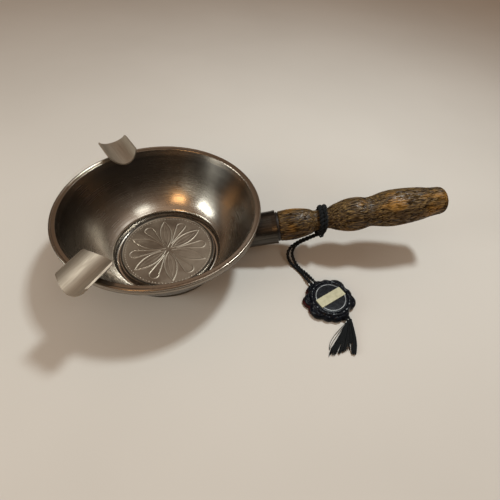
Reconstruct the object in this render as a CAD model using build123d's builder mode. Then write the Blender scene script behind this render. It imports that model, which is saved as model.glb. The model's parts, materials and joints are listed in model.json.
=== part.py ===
from build123d import *
from math import cos, hypot, pi, radians, sin, sqrt, tan
import os

# A small pewter ash bowl made like a skillet, with a wooden handle and a wax seal tag on a cord.
# Millimetres. Origin on the bowl's axis at the table, +X along the handle, +Z up.

os.makedirs("parts", exist_ok=True)

# Clearances that several pieces share
loose_gap = 0.3
fit_gap = 0.1
cut_overrun = 2.0

# Bowl
rim_radius = 60.0
bowl_height = 45.0
wall_thickness = 1.3
floor_rise = 3.0
lip_width = 3.7
lip_depth = 5.1
bead_radius = 0.95
bead_rise = 0.3
lip_edge_radius = 0.5
reed_depth = 0.4
under_lip_slope = 32.0
wall_top_angle = 67.0
wall_foot_angle = 36.0
foot_groove_radius = 34.6
foot_groove_width = 3.4
foot_edge_radius = 2.2
foot_corner_radius = 1.0
groove_shoulder_height = 5.75
wall_top_pull_share = 0.42
wall_foot_pull_share = 0.26

# Medallion on the bowl's floor
medallion_thickness = 1.4
medallion_gap = 0.4
medallion_border_width = 1.3
medallion_border_rise = 0.5
petal_count = 6
petal_rise = 0.4
petal_length = 24.0
petal_width = 7.6
petal_root = 2.2
drop_reach = 22.0
drop_radius = 3.1
drop_start_share = 0.33
rosette_turn = 39.8

# Cigarette rests on the lip
rest_angle = 120.7
rest_radius = 9.5
rest_half_angle = 65.0
rest_sheet = 1.0
rest_side_length = 15.8
rest_end_bulge = 4.8
rest_inset = 1.75
rest_tilt = 2.0
rest_lift = 0.4
seat_width = 7.0

# Handle axis, socket, spacer and stud
handle_axis_height = 9.2
handle_rise = 11.2
socket_radius = 10.85
socket_flare = 0.3
socket_reach = 13.6
socket_flare_length = 3.0
bore_radius = 8.6
bore_depth = 15.6
spacer_length = 1.7
spacer_radius = 9.2
spacer_bead_radius = 9.65
spacer_bead_length = 0.9
stud_radius = 3.0
stud_seat = 7.5
stud_length = 44.0

# Wooden grip
grip_length = 108.0
grip_radius = 11.9
grip_start_radius = 9.9
grip_chamfer = 0.7
neck_place = 28.0
neck_radius = 6.6
neck_seat_length = 7.4
grip_end_radius = 8.3
grip_end_rounding = 2.3
tenon_gap = 0.3
# Outline from the neck to the end: place along that stretch, and radius
grip_shares = (
    (0.039, 0.640),
    (0.090, 0.760),
    (0.166, 0.888),
    (0.242, 0.920),
    (0.305, 0.868),
    (0.350, 0.808),
    (0.418, 0.866),
    (0.507, 0.980),
    (0.608, 1.000),
    (0.709, 0.954),
    (0.810, 0.866),
    (0.912, 0.756),
)
# Outline from the start to the neck, as above
front_shares = (
    (0.358, 0.862),
    (0.605, 0.806),
    (0.781, 0.732),
    (0.900, 0.638),
)

# Cord, of twisted black yarn. Round the neck it lies doubled, so a turn there is thicker than a strand
cord_radius = 0.8
wrap_cord_radius = 1.2
wrap_turns = 2
wrap_pitch = 2.9
wrap_tail_length = 2.0
wrap_shift = 0.6
wrap_tilt = 1.2
knot_radius = 2.3
knot_half_length = 4.0
knot_reach = 9.7
knot_angle = 62.0
knot_shift = 0.9
knot_lean = 18.0

# Wax seal tag, lying on the table. Its x places, and the cords', are from under the middle of the neck
seal_centre_x = 1.45
seal_centre_y = -44.7
seal_heading = 121.4
seal_hinge_reach = 17.3
seal_cord_offset = 0.25
seal_body_radius = 13.8
seal_back_thickness = 2.6
seal_front_thickness = 2.3
seal_rim_height = 0.6
seal_field_radius = 10.7
seal_edge_round = 0.7
seal_back_shift_x = -0.9
seal_back_shift_y = -0.8
strand_spacing = 3.0
seal_ring_radius = 9.6
seal_ring_width = 0.5
seal_ring_height = 0.3
seal_label_length = 19.3
seal_label_width = 6.25
seal_label_thickness = 0.6
seal_label_turn = 27.7
# Each lobe of the outline: direction about the seal's centre, reach and size as shares of its radius
lobe_shares = (
    (-12.0, 1.19, 0.44),
    (-62.0, 1.15, 0.34),
    (-84.0, 1.14, 0.32),
    (-108.0, 1.12, 0.32),
    (-140.0, 1.22, 0.44),
    (178.0, 1.21, 0.36),
    (139.0, 1.15, 0.34),
    (117.0, 1.10, 0.32),
    (90.0, 1.08, 0.26),
    (55.0, 1.18, 0.44),
    (16.0, 1.12, 0.32),
)

# Tassel, the frayed end of the left cord
tassel_root_reach = 17.3
tassel_root_width = 3.4
tassel_root_height = 3.6
tassel_waist_x = 5.3
tassel_waist_y = -66.5
tassel_waist_width = 7.0
tassel_waist_height = 3.2
tassel_tip_x = -0.3
tassel_tip_y = -79.3
tassel_tip_width = 12.4
tassel_tip_height = 2.4
tassel_tip_turn = 11.0
tassel_table_gap = 0.4

# Cord routes, chosen by hand. Each strand starts inside the knot, at this place from the knot's centre
strand_left_start = (-2.0, 0.2, -0.9)
strand_right_start = (-1.8, -1.0, 0.4)
strand_left_route = (
    (-8.0, -4.9, 17.3),
    (-14.4, -5.5, 13.8),
    (-19.4, -6.6, 9.1),
    (-20.9, -9.3, 4.6),
    (-18.6, -14.1, 1.15),
    (-14.9, -18.4, 0.95),
    (-11.0, -24.8, 1.2),
)
strand_right_route = (
    (-8.0, -6.6, 18.1),
    (-14.3, -7.4, 14.9),
    (-17.4, -8.2, 10.6),
    (-17.8, -9.3, 5.8),
    (-16.0, -12.8, 2.1),
    (-13.5, -18.0, 1.0),
    (-8.8, -23.5, 1.2),
)
tail_right_bend = 15.9
tail_right_route = (
    (10.9, -62.8, 1.9),
    (10.6, -67.9, 1.4),
    (10.0, -72.6, 1.15),
    (8.9, -76.8, 1.15),
    (6.9, -80.8, 1.15),
)


# Sizes worked out from the ones above
lip_inner_radius = rim_radius - lip_width
lip_land_height = bowl_height - bead_rise
floor_top = floor_rise + wall_thickness
medallion_top = floor_top + medallion_thickness
groove_inner_radius = foot_groove_radius - foot_groove_width
groove_bend_height = wall_thickness + foot_groove_width / 2
medallion_radius = groove_inner_radius - medallion_gap
foot_outer_radius = foot_groove_radius + wall_thickness
foot_inner_radius = groove_inner_radius - wall_thickness


def pull(point, angle, distance):
    """A point moved outward and up along a slope of this angle."""
    return (point[0] + distance * cos(radians(angle)), point[1] + distance * sin(radians(angle)))


# The wall's curve, inside and outside
edge_turn = 90 - wall_foot_angle
wall_foot = (
    foot_groove_radius + foot_edge_radius * (1 - cos(radians(edge_turn))),
    groove_shoulder_height + foot_edge_radius * sin(radians(edge_turn)),
)
edge_middle = (
    foot_groove_radius + foot_edge_radius * (1 - cos(radians(edge_turn / 2))),
    groove_shoulder_height + foot_edge_radius * sin(radians(edge_turn / 2)),
)
wall_top = (lip_inner_radius, lip_land_height - lip_edge_radius)
lip_edge_middle = (
    wall_top[0] + lip_edge_radius * (1 - cos(pi / 4)),
    wall_top[1] + lip_edge_radius * sin(pi / 4),
)
wall_chord = hypot(wall_top[0] - wall_foot[0], wall_top[1] - wall_foot[1])


def wall_curve(offset):
    """Control points of the wall's curve, moved outward from its inner face, foot first."""
    foot = pull(wall_foot, wall_foot_angle - 90, offset)
    top = pull(wall_top, wall_top_angle - 90, offset)
    return (
        foot,
        pull(foot, wall_foot_angle, wall_foot_pull_share * wall_chord),
        pull(top, wall_top_angle, -wall_top_pull_share * wall_chord),
        top,
    )


inner_wall = wall_curve(0)
outer_wall = wall_curve(wall_thickness)


# Bowl: wall, floor, foot and lip in one spun and rolled piece
bead_centre = (rim_radius - bead_radius, bowl_height - bead_radius)
bead_drop = bead_radius - bead_rise
bead_start = (bead_centre[0] - sqrt(bead_radius**2 - bead_drop**2), lip_land_height)
bead_end = (bead_centre[0] + bead_radius * cos(pi / 4), bead_centre[1] - bead_radius * sin(pi / 4))
reed_notch = (rim_radius - bead_radius * (1 - cos(pi / 4)) - reed_depth, bead_end[1] - reed_depth)
lip_bottom = bowl_height - lip_depth
band_end = (rim_radius - bead_radius, lip_bottom)
band_middle = (rim_radius - bead_radius / 4, (reed_notch[1] + lip_bottom) / 2)
under_lip_reach = (rim_radius - lip_inner_radius) * sqrt(2)
under_lip = pull(band_end, under_lip_slope, -under_lip_reach)

with BuildPart() as bowl:
    with BuildSketch(Plane.XZ) as bowl_profile:
        with BuildLine():
            wall_inside = Bezier(*inner_wall)
            wall_outside = Bezier(*outer_wall)
            Line(wall_inside @ 0, wall_outside @ 0)
            Line(wall_inside @ 1, wall_outside @ 1)
        make_face()
        with BuildLine():
            # Foot: the floor, the groove round it and the ring that stands on the table
            Polyline(
                (0, floor_top),
                (groove_inner_radius, floor_top),
                (groove_inner_radius, groove_bend_height),
            )
            ThreePointArc(
                (groove_inner_radius, groove_bend_height),
                (groove_inner_radius + foot_groove_width / 2, wall_thickness),
                (foot_groove_radius, groove_bend_height),
            )
            Line((foot_groove_radius, groove_bend_height), (foot_groove_radius, groove_shoulder_height))
            ThreePointArc((foot_groove_radius, groove_shoulder_height), edge_middle, wall_foot)
            Polyline(
                wall_foot,
                outer_wall[0],
                (foot_outer_radius, outer_wall[0][1] - (outer_wall[0][0] - foot_outer_radius)),
                (foot_outer_radius, foot_corner_radius),
            )
            RadiusArc((foot_outer_radius, foot_corner_radius), (foot_outer_radius - foot_corner_radius, 0),
                      foot_corner_radius)
            Line((foot_outer_radius - foot_corner_radius, 0), (foot_inner_radius + foot_corner_radius, 0))
            RadiusArc((foot_inner_radius + foot_corner_radius, 0), (foot_inner_radius, foot_corner_radius),
                      foot_corner_radius)
            Polyline(
                (foot_inner_radius, foot_corner_radius),
                (foot_inner_radius, floor_rise),
                (0, floor_rise),
                (0, floor_top),
            )
        make_face()
        with BuildLine():
            # Lip: a land inside, a round bead at the edge and a reed under it
            ThreePointArc(
                wall_top,
                lip_edge_middle,
                (wall_top[0] + lip_edge_radius, lip_land_height),
            )
            Line((wall_top[0] + lip_edge_radius, lip_land_height), bead_start)
            ThreePointArc(
                bead_start,
                (bead_centre[0] + bead_radius * cos(pi / 4), bead_centre[1] + bead_radius * sin(pi / 4)),
                bead_end,
            )
            Line(bead_end, reed_notch)
            ThreePointArc(reed_notch, band_middle, band_end)
            Line(band_end, under_lip)
            Line(under_lip, wall_top)
        make_face()
    revolve(axis=Axis.Z)
bowl.part.label = "bowl"

# The space that the bowl's outside takes up, cut from what is soldered to it
with BuildPart() as bowl_envelope:
    with BuildSketch(Plane.XZ):
        with BuildLine():
            Bezier(*outer_wall)
            Polyline(
                outer_wall[3],
                (0, outer_wall[3][1]),
                (0, 0),
                (foot_outer_radius, 0),
                (foot_outer_radius, outer_wall[0][1] - (outer_wall[0][0] - foot_outer_radius)),
                outer_wall[0],
            )
        make_face()
    revolve(axis=Axis.Z)

# Medallion: a disc with a raised border and a six petal rosette with drops between the petals
petal_side = petal_width / 2
petal_middle = petal_root + petal_length / 2
petal_end = petal_root + petal_length
with BuildSketch() as petal:
    with BuildLine():
        ThreePointArc((petal_root, 0), (petal_middle, petal_side), (petal_end, 0))
        ThreePointArc((petal_end, 0), (petal_middle, -petal_side), (petal_root, 0))
    make_face()
with BuildSketch() as drop:
    with Locations((drop_reach, 0)):
        Circle(drop_radius)
    with BuildLine():
        Polyline(
            (drop_reach * drop_start_share, 0),
            (drop_reach, drop_radius),
            (drop_reach, -drop_radius),
            close=True,
        )
    make_face()
medallion_field = medallion_top - medallion_border_rise
with BuildPart() as medallion:
    with BuildSketch(Plane.XY.offset(floor_top)):
        Circle(medallion_radius)
    extrude(amount=medallion_field - floor_top)
    with BuildSketch(Plane.XY.offset(medallion_field)):
        Circle(medallion_radius)
        Circle(medallion_radius - medallion_border_width, mode=Mode.SUBTRACT)
    extrude(amount=medallion_border_rise)
    with BuildSketch(Plane.XY.offset(medallion_field)):
        with PolarLocations(0, petal_count, start_angle=rosette_turn):
            add(petal.sketch)
        with PolarLocations(0, petal_count, start_angle=rosette_turn + 180 / petal_count):
            add(drop.sketch)
    extrude(amount=petal_rise)
medallion.part.label = "medallion"

# Cigarette rests: bent gutters with rounded ends, each on a solder seat on the lip's land
rest_outer_radius = rest_radius + rest_sheet
rest_half_chord = rest_outer_radius * sin(radians(rest_half_angle))
land_middle = (lip_inner_radius + lip_edge_radius + bead_start[0]) / 2
land_width = bead_start[0] - lip_inner_radius - lip_edge_radius


def make_rest(angle):
    """One gutter, concave upward, square to the lip at this angle about the bowl."""
    toward = Vector(cos(radians(angle)), sin(radians(angle)), 0)
    across = Vector(-sin(radians(angle)), cos(radians(angle)), 0)
    lie = toward.rotate(Axis((0, 0, 0), across), -rest_tilt)
    base = toward * (rim_radius - rest_inset) + Vector(0, 0, bowl_height + rest_lift)
    up = lie.cross(across)
    middle = base + up * rest_outer_radius
    half_length = rest_side_length / 2
    end_reach = half_length + rest_end_bulge
    with BuildPart() as rest:
        with BuildSketch(Plane(origin=middle - lie * (end_reach + cut_overrun), x_dir=across, z_dir=lie)):
            Circle(rest_outer_radius)
            Circle(rest_radius, mode=Mode.SUBTRACT)
            with BuildLine():
                # Everything above the gutter's two sides, as seen along it
                wedge = rest_outer_radius * 2
                Polyline(
                    (0, 0),
                    (wedge * sin(radians(rest_half_angle)), -wedge * cos(radians(rest_half_angle))),
                    (wedge, wedge),
                    (-wedge, wedge),
                    (-wedge * sin(radians(rest_half_angle)), -wedge * cos(radians(rest_half_angle))),
                    close=True,
                )
            make_face(mode=Mode.SUBTRACT)
        extrude(amount=2 * (end_reach + cut_overrun))
        with BuildSketch(Plane(origin=base - up * cut_overrun, x_dir=lie, z_dir=up)):
            with BuildLine():
                side = rest_half_chord + fit_gap
                ThreePointArc((half_length, -side), (end_reach, 0), (half_length, side))
                Line((half_length, side), (-half_length, side))
                ThreePointArc((-half_length, side), (-end_reach, 0), (-half_length, -side))
                Line((-half_length, -side), (half_length, -side))
            make_face()
        extrude(amount=cut_overrun + rest_outer_radius * 2, mode=Mode.INTERSECT)
        seat_plane = Plane(
            origin=toward * land_middle + Vector(0, 0, lip_land_height), x_dir=toward, z_dir=(0, 0, 1)
        )
        with BuildSketch(seat_plane):
            Rectangle(land_width - 2 * fit_gap, seat_width)
        extrude(amount=bead_rise + rest_lift + rest_sheet / 2)
        with BuildSketch(Plane(origin=middle - lie * end_reach, x_dir=across, z_dir=lie)):
            Circle(rest_radius)
        extrude(amount=2 * end_reach, mode=Mode.SUBTRACT)
    return rest.part


cigarette_rest_front = make_rest(-rest_angle)
cigarette_rest_front.label = "cigarette_rest_front"
cigarette_rest_back = make_rest(rest_angle)
cigarette_rest_back.label = "cigarette_rest_back"

# Places along the handle, from the bowl's axis
socket_end = rim_radius + socket_reach
bore_start = socket_end - bore_depth
stud_start = bore_start - stud_seat
grip_start = socket_end + spacer_length
grip_end = grip_start + grip_length
neck_middle = grip_start + neck_place
neck_seat_start = neck_middle - neck_seat_length / 2
neck_seat_end = neck_middle + neck_seat_length / 2

# Handle frame: its z runs out along the handle, from the bowl's axis
along = Vector(cos(radians(handle_rise)), 0, sin(radians(handle_rise)))
handle_foot = Vector(0, 0, handle_axis_height)


def handle_plane(distance):
    """The plane square to the handle at this distance from the bowl's axis."""
    return Plane(origin=handle_foot + along * distance, x_dir=(0, 1, 0), z_dir=along)


# The plane that holds the handle's axis: its x runs out along the handle, its y up across it
grip_plane = Plane(origin=handle_foot, x_dir=along, z_dir=(0, -1, 0))
handle_axis = Axis(handle_foot, along)

# Socket: a cast tube with a solid foot that fits the wall, flared a little at its mouth
with BuildPart() as handle_socket:
    with BuildSketch(grip_plane):
        with BuildLine():
            Polyline(
                (foot_inner_radius, 0),
                (foot_inner_radius, socket_radius),
                (socket_end - socket_flare_length, socket_radius),
                (socket_end, socket_radius + socket_flare),
                (socket_end, bore_radius),
                (bore_start, bore_radius),
                (bore_start, stud_radius + fit_gap),
                (stud_start - loose_gap, stud_radius + fit_gap),
                (stud_start - loose_gap, 0),
                close=True,
            )
        make_face()
    revolve(axis=handle_axis)
    add(bowl_envelope.part, mode=Mode.SUBTRACT)
handle_socket.part.label = "handle_socket"

# Spacer between the socket's mouth and the wood
spacer_bead_start = socket_end + (spacer_length - spacer_bead_length) / 2
tenon_radius = bore_radius - fit_gap
with BuildPart() as spacer_ring:
    with BuildSketch(grip_plane):
        with BuildLine():
            Polyline(
                (socket_end, bore_radius),
                (socket_end, spacer_radius),
                (spacer_bead_start, spacer_radius),
                (spacer_bead_start, spacer_bead_radius),
                (spacer_bead_start + spacer_bead_length, spacer_bead_radius),
                (spacer_bead_start + spacer_bead_length, spacer_radius),
                (grip_start, spacer_radius),
                (grip_start, bore_radius),
                close=True,
            )
        make_face()
    revolve(axis=handle_axis)
spacer_ring.part.label = "spacer_ring"

# Threaded rod, soldered into the socket's foot and screwed into the wood
with BuildPart() as handle_stud:
    with BuildSketch(handle_plane(stud_start)):
        Circle(stud_radius)
    extrude(amount=stud_length)
    chamfer(handle_stud.edges().filter_by(GeomType.CIRCLE), length=stud_radius / 6)
handle_stud.part.label = "handle_stud"

# Wooden grip: a tenon in the socket, then a carved outline with a neck, two swellings and a waist
front_length = neck_seat_start - grip_start
back_length = grip_end - neck_seat_end
front_outline = (
    [(grip_start + grip_chamfer, grip_start_radius)]
    + [(grip_start + a * front_length, b * grip_radius) for a, b in front_shares]
    + [(neck_seat_start, neck_radius)]
)
back_outline = (
    [(neck_seat_end, neck_radius)]
    + [(neck_seat_end + a * back_length, b * grip_radius) for a, b in grip_shares]
    + [(grip_end - grip_end_rounding, grip_end_radius)]
)
with BuildPart() as wooden_handle:
    with BuildSketch(grip_plane):
        with BuildLine():
            Polyline(
                (bore_start + tenon_gap, stud_radius + fit_gap),
                (bore_start + tenon_gap, tenon_radius),
                (grip_start, tenon_radius),
                (grip_start, grip_start_radius - grip_chamfer),
                (grip_start + grip_chamfer, grip_start_radius),
            )
            Spline(*front_outline, tangents=((1, 0.05), (1, -0.05)))
            Line(front_outline[-1], back_outline[0])
            Spline(*back_outline, tangents=((1, 0.05), (1, -0.45)))
            ThreePointArc(
                back_outline[-1],
                (grip_end - grip_end_rounding / 4, grip_end_radius * 3 / 4),
                (grip_end, grip_end_radius / 2),
            )
            Polyline(
                (grip_end, grip_end_radius / 2),
                (grip_end, 0),
                (stud_start + stud_length + loose_gap, 0),
                (stud_start + stud_length + loose_gap, stud_radius + fit_gap),
                (bore_start + tenon_gap, stud_radius + fit_gap),
            )
        make_face()
    revolve(axis=handle_axis)
wooden_handle.part.label = "wooden_handle"


def route_radii(points):
    """The arc radius at each corner of a cord's route: as large as its two runs allow."""
    corners = [Vector(p) for p in points]
    radii = []
    for before, corner, after in zip(corners, corners[1:], corners[2:]):
        run_in = corner - before
        run_out = after - corner
        half_turn = radians(run_in.get_angle(run_out)) / 2
        radii.append(0.45 * min(run_in.length, run_out.length) / tan(half_turn))
    return radii


def report_tube(name, path, volume, radii, tube_radius=cord_radius):
    """Print a tube's length, its volume against section times length, and its tightest arc."""
    ratio = volume / (pi * tube_radius**2 * path.length)
    print(f"{name}: length {path.length:.1f}, volume ratio {ratio:.4f}, least radius {min(radii):.1f}")


# Cord round the neck: an unbroken tube of two turns, whose ends run straight into the knot
wrap_radius = neck_radius + loose_gap + wrap_cord_radius
wrap_length = wrap_turns * wrap_pitch
wrap_middle = neck_middle + wrap_shift
knot_turn = 180 + knot_angle
cross = along.cross(Vector(0, 1, 0))


def wrap_point(turns):
    """A point on the cord's centre line after this many turns from the knot's side."""
    angle = radians(knot_turn) + 2 * pi * turns
    place = wrap_middle + wrap_pitch * turns - wrap_length / 2 - wrap_tilt * cos(2 * pi * turns)
    radial = Vector(0, 1, 0) * (wrap_radius * cos(angle)) + cross * (wrap_radius * sin(angle))
    return handle_foot + along * place + radial


def wrap_direction(turns):
    """The direction of the cord's centre line at that point."""
    angle = radians(knot_turn) + 2 * pi * turns
    swing = (cross * cos(angle) - Vector(0, 1, 0) * sin(angle)) * (2 * pi * wrap_radius)
    advance = wrap_pitch + 2 * pi * wrap_tilt * sin(2 * pi * turns)
    return (swing + along * advance).normalized()


def biarc_joint(start, start_direction, end, end_direction):
    """Where two arcs meet that leave start and reach end along the given directions."""
    span = end - start
    both = start_direction + end_direction
    bend = 2 * (1 - start_direction.dot(end_direction))
    reach = (-span.dot(both) + sqrt(span.dot(both) ** 2 + bend * span.dot(span))) / bend
    first = start + start_direction * reach
    second = end - end_direction * reach
    return (first + second) / 2, (second - first).normalized()


wrap_start_share = 0.045
quarter_turns = [wrap_start_share + (wrap_turns - 2 * wrap_start_share) * k / (4 * wrap_turns)
                 for k in range(4 * wrap_turns + 1)]
with BuildLine() as wrap_path:
    lead_in = wrap_point(quarter_turns[0]) - wrap_direction(quarter_turns[0]) * wrap_tail_length
    Line(lead_in, wrap_point(quarter_turns[0]))
    for early, late in zip(quarter_turns, quarter_turns[1:]):
        here = wrap_point(early)
        there = wrap_point(late)
        joint, joint_direction = biarc_joint(here, wrap_direction(early), there, wrap_direction(late))
        TangentArc(here, joint, tangent=wrap_direction(early))
        TangentArc(joint, there, tangent=joint_direction)
    lead_out = wrap_point(quarter_turns[-1]) + wrap_direction(quarter_turns[-1]) * wrap_tail_length
    Line(wrap_point(quarter_turns[-1]), lead_out)
with BuildPart() as cord_wrap:
    with BuildSketch(Plane(origin=lead_in, z_dir=wrap_direction(quarter_turns[0]))):
        Circle(wrap_cord_radius)
    sweep(path=wrap_path.wire())
cord_wrap.part.label = "cord_wrap"
wrap_samples = [wrap_path.wire() @ (k / 400) for k in range(401)]
skip = int(400 * 0.6 / wrap_turns)
wrap_gap = min(
    (a - b).length - 2 * wrap_cord_radius
    for i, a in enumerate(wrap_samples) for b in wrap_samples[i + skip:]
)
print(f"cord_wrap: least gap to itself {wrap_gap:.2f}")
report_tube("cord_wrap", wrap_path.wire(), cord_wrap.part.volume, [wrap_radius], wrap_cord_radius)

# Knot: a small rounded lump that the wrap and both strands run into, longest along the handle
knot_out = Vector(0, 1, 0) * cos(radians(knot_turn)) + cross * sin(radians(knot_turn))
knot_centre = handle_foot + along * (wrap_middle - knot_shift) + knot_out * knot_reach
knot_line = along * cos(radians(knot_lean)) - knot_out * sin(radians(knot_lean))
knot_plane = Plane(origin=knot_centre, x_dir=knot_line, z_dir=knot_line.cross(knot_out))
print(f"knot centre {knot_centre}, wrap ends {lead_in} {lead_out}")

# Seal tag: hinge line where the cords flex, just outside its edge
seal_axis = Vector(cos(radians(seal_heading)), sin(radians(seal_heading)), 0)
seal_side = Vector(-seal_axis.Y, seal_axis.X, 0)
neck_foot = Vector(neck_middle * cos(radians(handle_rise)), 0, 0)
seal_centre = neck_foot + Vector(seal_centre_x, seal_centre_y, 0)
cord_line_middle = seal_centre + seal_side * seal_cord_offset
cord_level = Vector(0, 0, seal_back_thickness)
hinge_middle = cord_line_middle + seal_axis * seal_hinge_reach + cord_level
left_flex = hinge_middle + seal_side * (strand_spacing / 2)
right_flex = hinge_middle - seal_side * (strand_spacing / 2)
print(f"seal hinge at {hinge_middle}, axis {seal_side}, flex points {left_flex} {right_flex}")


def strand_tube(name, start_offset, route, flex):
    """A cord from inside the knot to its flex point, with a round end there."""
    points = [tuple(knot_centre + Vector(start_offset))]
    points += [tuple(neck_foot + Vector(p)) for p in route]
    points.append(tuple(flex))
    radii = route_radii(points)
    with BuildLine() as path:
        FilletPolyline(*points, radius=radii)
    start = Vector(points[0])
    with BuildPart() as strand:
        with BuildSketch(Plane(origin=start, z_dir=(Vector(points[1]) - start).normalized())):
            Circle(cord_radius)
        sweep(path=path.wire())
        volume = strand.part.volume
        with Locations(flex):
            Sphere(cord_radius)
    report_tube(name, path.wire(), volume, radii)
    strand.part.label = name
    return strand.part


cord_strand_left = strand_tube("cord_strand_left", strand_left_start, strand_left_route, left_flex)
cord_strand_right = strand_tube("cord_strand_right", strand_right_start, strand_right_route, right_flex)

with BuildPart() as cord_knot:
    with BuildSketch(knot_plane):
        with BuildLine():
            EllipticalCenterArc((0, 0), knot_half_length, knot_radius, start_angle=0, arc_size=180)
            Line((-knot_half_length, 0), (knot_half_length, 0))
        make_face()
    revolve(axis=Axis(knot_centre, knot_line))
    add(cord_wrap.part, mode=Mode.SUBTRACT)
    add(cord_strand_left, mode=Mode.SUBTRACT)
    add(cord_strand_right, mode=Mode.SUBTRACT)
cord_knot.part.label = "cord_knot"

# Tails: the cords' ends between the two halves of the seal
tail_start_gap = cord_radius + loose_gap
left_tail_start = left_flex - seal_axis * tail_start_gap
left_tail_end = left_flex - seal_axis * (seal_hinge_reach + tassel_root_reach)
with BuildPart() as cord_tail_left:
    with BuildSketch(Plane(origin=left_tail_start, z_dir=seal_axis * -1)):
        Circle(cord_radius)
    extrude(amount=(left_tail_end - left_tail_start).length)
cord_tail_left.part.label = "cord_tail_left"

right_tail_start = right_flex - seal_axis * tail_start_gap
right_tail_bend = right_flex - seal_axis * (seal_hinge_reach + tail_right_bend)
right_tail_points = [tuple(right_tail_start), tuple(right_tail_bend)] + [
    tuple(neck_foot + Vector(p)) for p in tail_right_route
]
right_tail_radii = route_radii(right_tail_points)
with BuildLine() as right_tail_path:
    FilletPolyline(*right_tail_points, radius=right_tail_radii)
with BuildPart() as cord_tail_right:
    with BuildSketch(Plane(origin=right_tail_start, z_dir=(right_tail_path.wire() % 0))):
        Circle(cord_radius)
    sweep(path=right_tail_path.wire())
report_tube("cord_tail_right", right_tail_path.wire(), cord_tail_right.part.volume, right_tail_radii)
cord_tail_right.part.label = "cord_tail_right"


def seal_outline(plane, thickness, shrink):
    """A scalloped slab: a round body with lobes of wax pressed out round it."""
    with BuildPart() as slab:
        with BuildSketch(plane):
            Circle(seal_body_radius - shrink)
            for direction, reach_share, size_share in lobe_shares:
                size = seal_body_radius * size_share
                reach = seal_body_radius * reach_share - size
                with Locations((reach * cos(radians(direction)), reach * sin(radians(direction)))):
                    Circle(size - shrink)
        extrude(amount=thickness)
    return slab.part


seal_plane = Plane(origin=seal_centre, x_dir=(1, 0, 0), z_dir=(0, 0, 1))
with BuildPart() as seal_back:
    back_plane = seal_plane.offset(0).move(Location((seal_back_shift_x, seal_back_shift_y, 0)))
    add(seal_outline(back_plane, seal_back_thickness, seal_edge_round))
    add(cord_tail_left.part, mode=Mode.SUBTRACT)
    add(cord_tail_right.part, mode=Mode.SUBTRACT)
seal_back.part.label = "seal_back"

# Front half, a little aside from the back one: a lower field inside a wax rim. The ring is set on the field,
# and the label lies across the ring
field_height = seal_back_thickness + seal_front_thickness
with BuildPart() as seal_front:
    add(seal_outline(seal_plane.offset(seal_back_thickness), seal_front_thickness, seal_edge_round))
    with BuildSketch(seal_plane.offset(field_height)):
        Circle(seal_body_radius - seal_edge_round)
        Circle(seal_field_radius, mode=Mode.SUBTRACT)
    extrude(amount=seal_rim_height)
    add(cord_tail_left.part, mode=Mode.SUBTRACT)
    add(cord_tail_right.part, mode=Mode.SUBTRACT)
seal_front.part.label = "seal_front"

with BuildPart() as seal_ring:
    with BuildSketch(seal_plane.offset(field_height)):
        Circle(seal_ring_radius)
        Circle(seal_ring_radius - seal_ring_width, mode=Mode.SUBTRACT)
    extrude(amount=seal_ring_height)
seal_ring.part.label = "seal_ring"

label_plane = Plane(
    origin=seal_centre + Vector(0, 0, field_height),
    x_dir=(cos(radians(seal_label_turn)), sin(radians(seal_label_turn)), 0),
    z_dir=(0, 0, 1),
)
with BuildPart() as seal_label:
    with BuildSketch(label_plane):
        Rectangle(seal_label_length, seal_label_width)
    extrude(amount=seal_label_thickness)
    add(seal_ring.part, mode=Mode.SUBTRACT)
seal_label.part.label = "seal_label"

# Tassel: frayed yarn, a flat bundle that fans out on the table
tassel_waist = neck_foot + Vector(tassel_waist_x, tassel_waist_y, tassel_table_gap + tassel_waist_height / 2)
tassel_tip = neck_foot + Vector(tassel_tip_x, tassel_tip_y, tassel_table_gap + tassel_tip_height / 2)
tip_across = Vector(-cos(radians(tassel_tip_turn)), sin(radians(tassel_tip_turn)), 0)
with BuildPart() as tassel:
    with BuildSketch(Plane(origin=left_tail_end, x_dir=seal_side, z_dir=seal_axis * -1)):
        RectangleRounded(tassel_root_width, tassel_root_height, tassel_root_height / 3)
    with BuildSketch(Plane(origin=tassel_waist, x_dir=tip_across, z_dir=tip_across.cross(Vector(0, 0, 1)))):
        RectangleRounded(tassel_waist_width, tassel_waist_height, tassel_waist_height / 3)
    with BuildSketch(Plane(origin=tassel_tip, x_dir=tip_across, z_dir=tip_across.cross(Vector(0, 0, 1)))):
        RectangleRounded(tassel_tip_width, tassel_tip_height, tassel_tip_height / 3)
    loft()
tassel.part.label = "tassel"

pieces = [
    bowl.part,
    medallion.part,
    cigarette_rest_front,
    cigarette_rest_back,
    handle_socket.part,
    spacer_ring.part,
    handle_stud.part,
    wooden_handle.part,
    cord_wrap.part,
    cord_knot.part,
    cord_strand_left,
    cord_strand_right,
    cord_tail_left.part,
    cord_tail_right.part,
    seal_back.part,
    seal_front.part,
    seal_ring.part,
    seal_label.part,
    tassel.part,
]
for piece in pieces:
    export_step(piece, f"parts/{piece.label}.step")
    size = piece.bounding_box()
    print(f"{piece.label}: solids {len(piece.solids())}, volume {piece.volume:.1f}, {size.min} {size.max}")
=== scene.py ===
"""Looks of the pewter ash bowl: camera, cords, carved wood, worked pewter, wax seal and tassel.

The CAD frame is in metres here. Places are written in millimetres and scaled by MM, in the frame of part.py:
origin on the bowl's axis at the table, +X along the handle, +Z up. Lengths inside materials are in metres.
"""

import json
import math
import random

import bpy
import numpy as np
from mathutils import Matrix, Vector, noise


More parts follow.
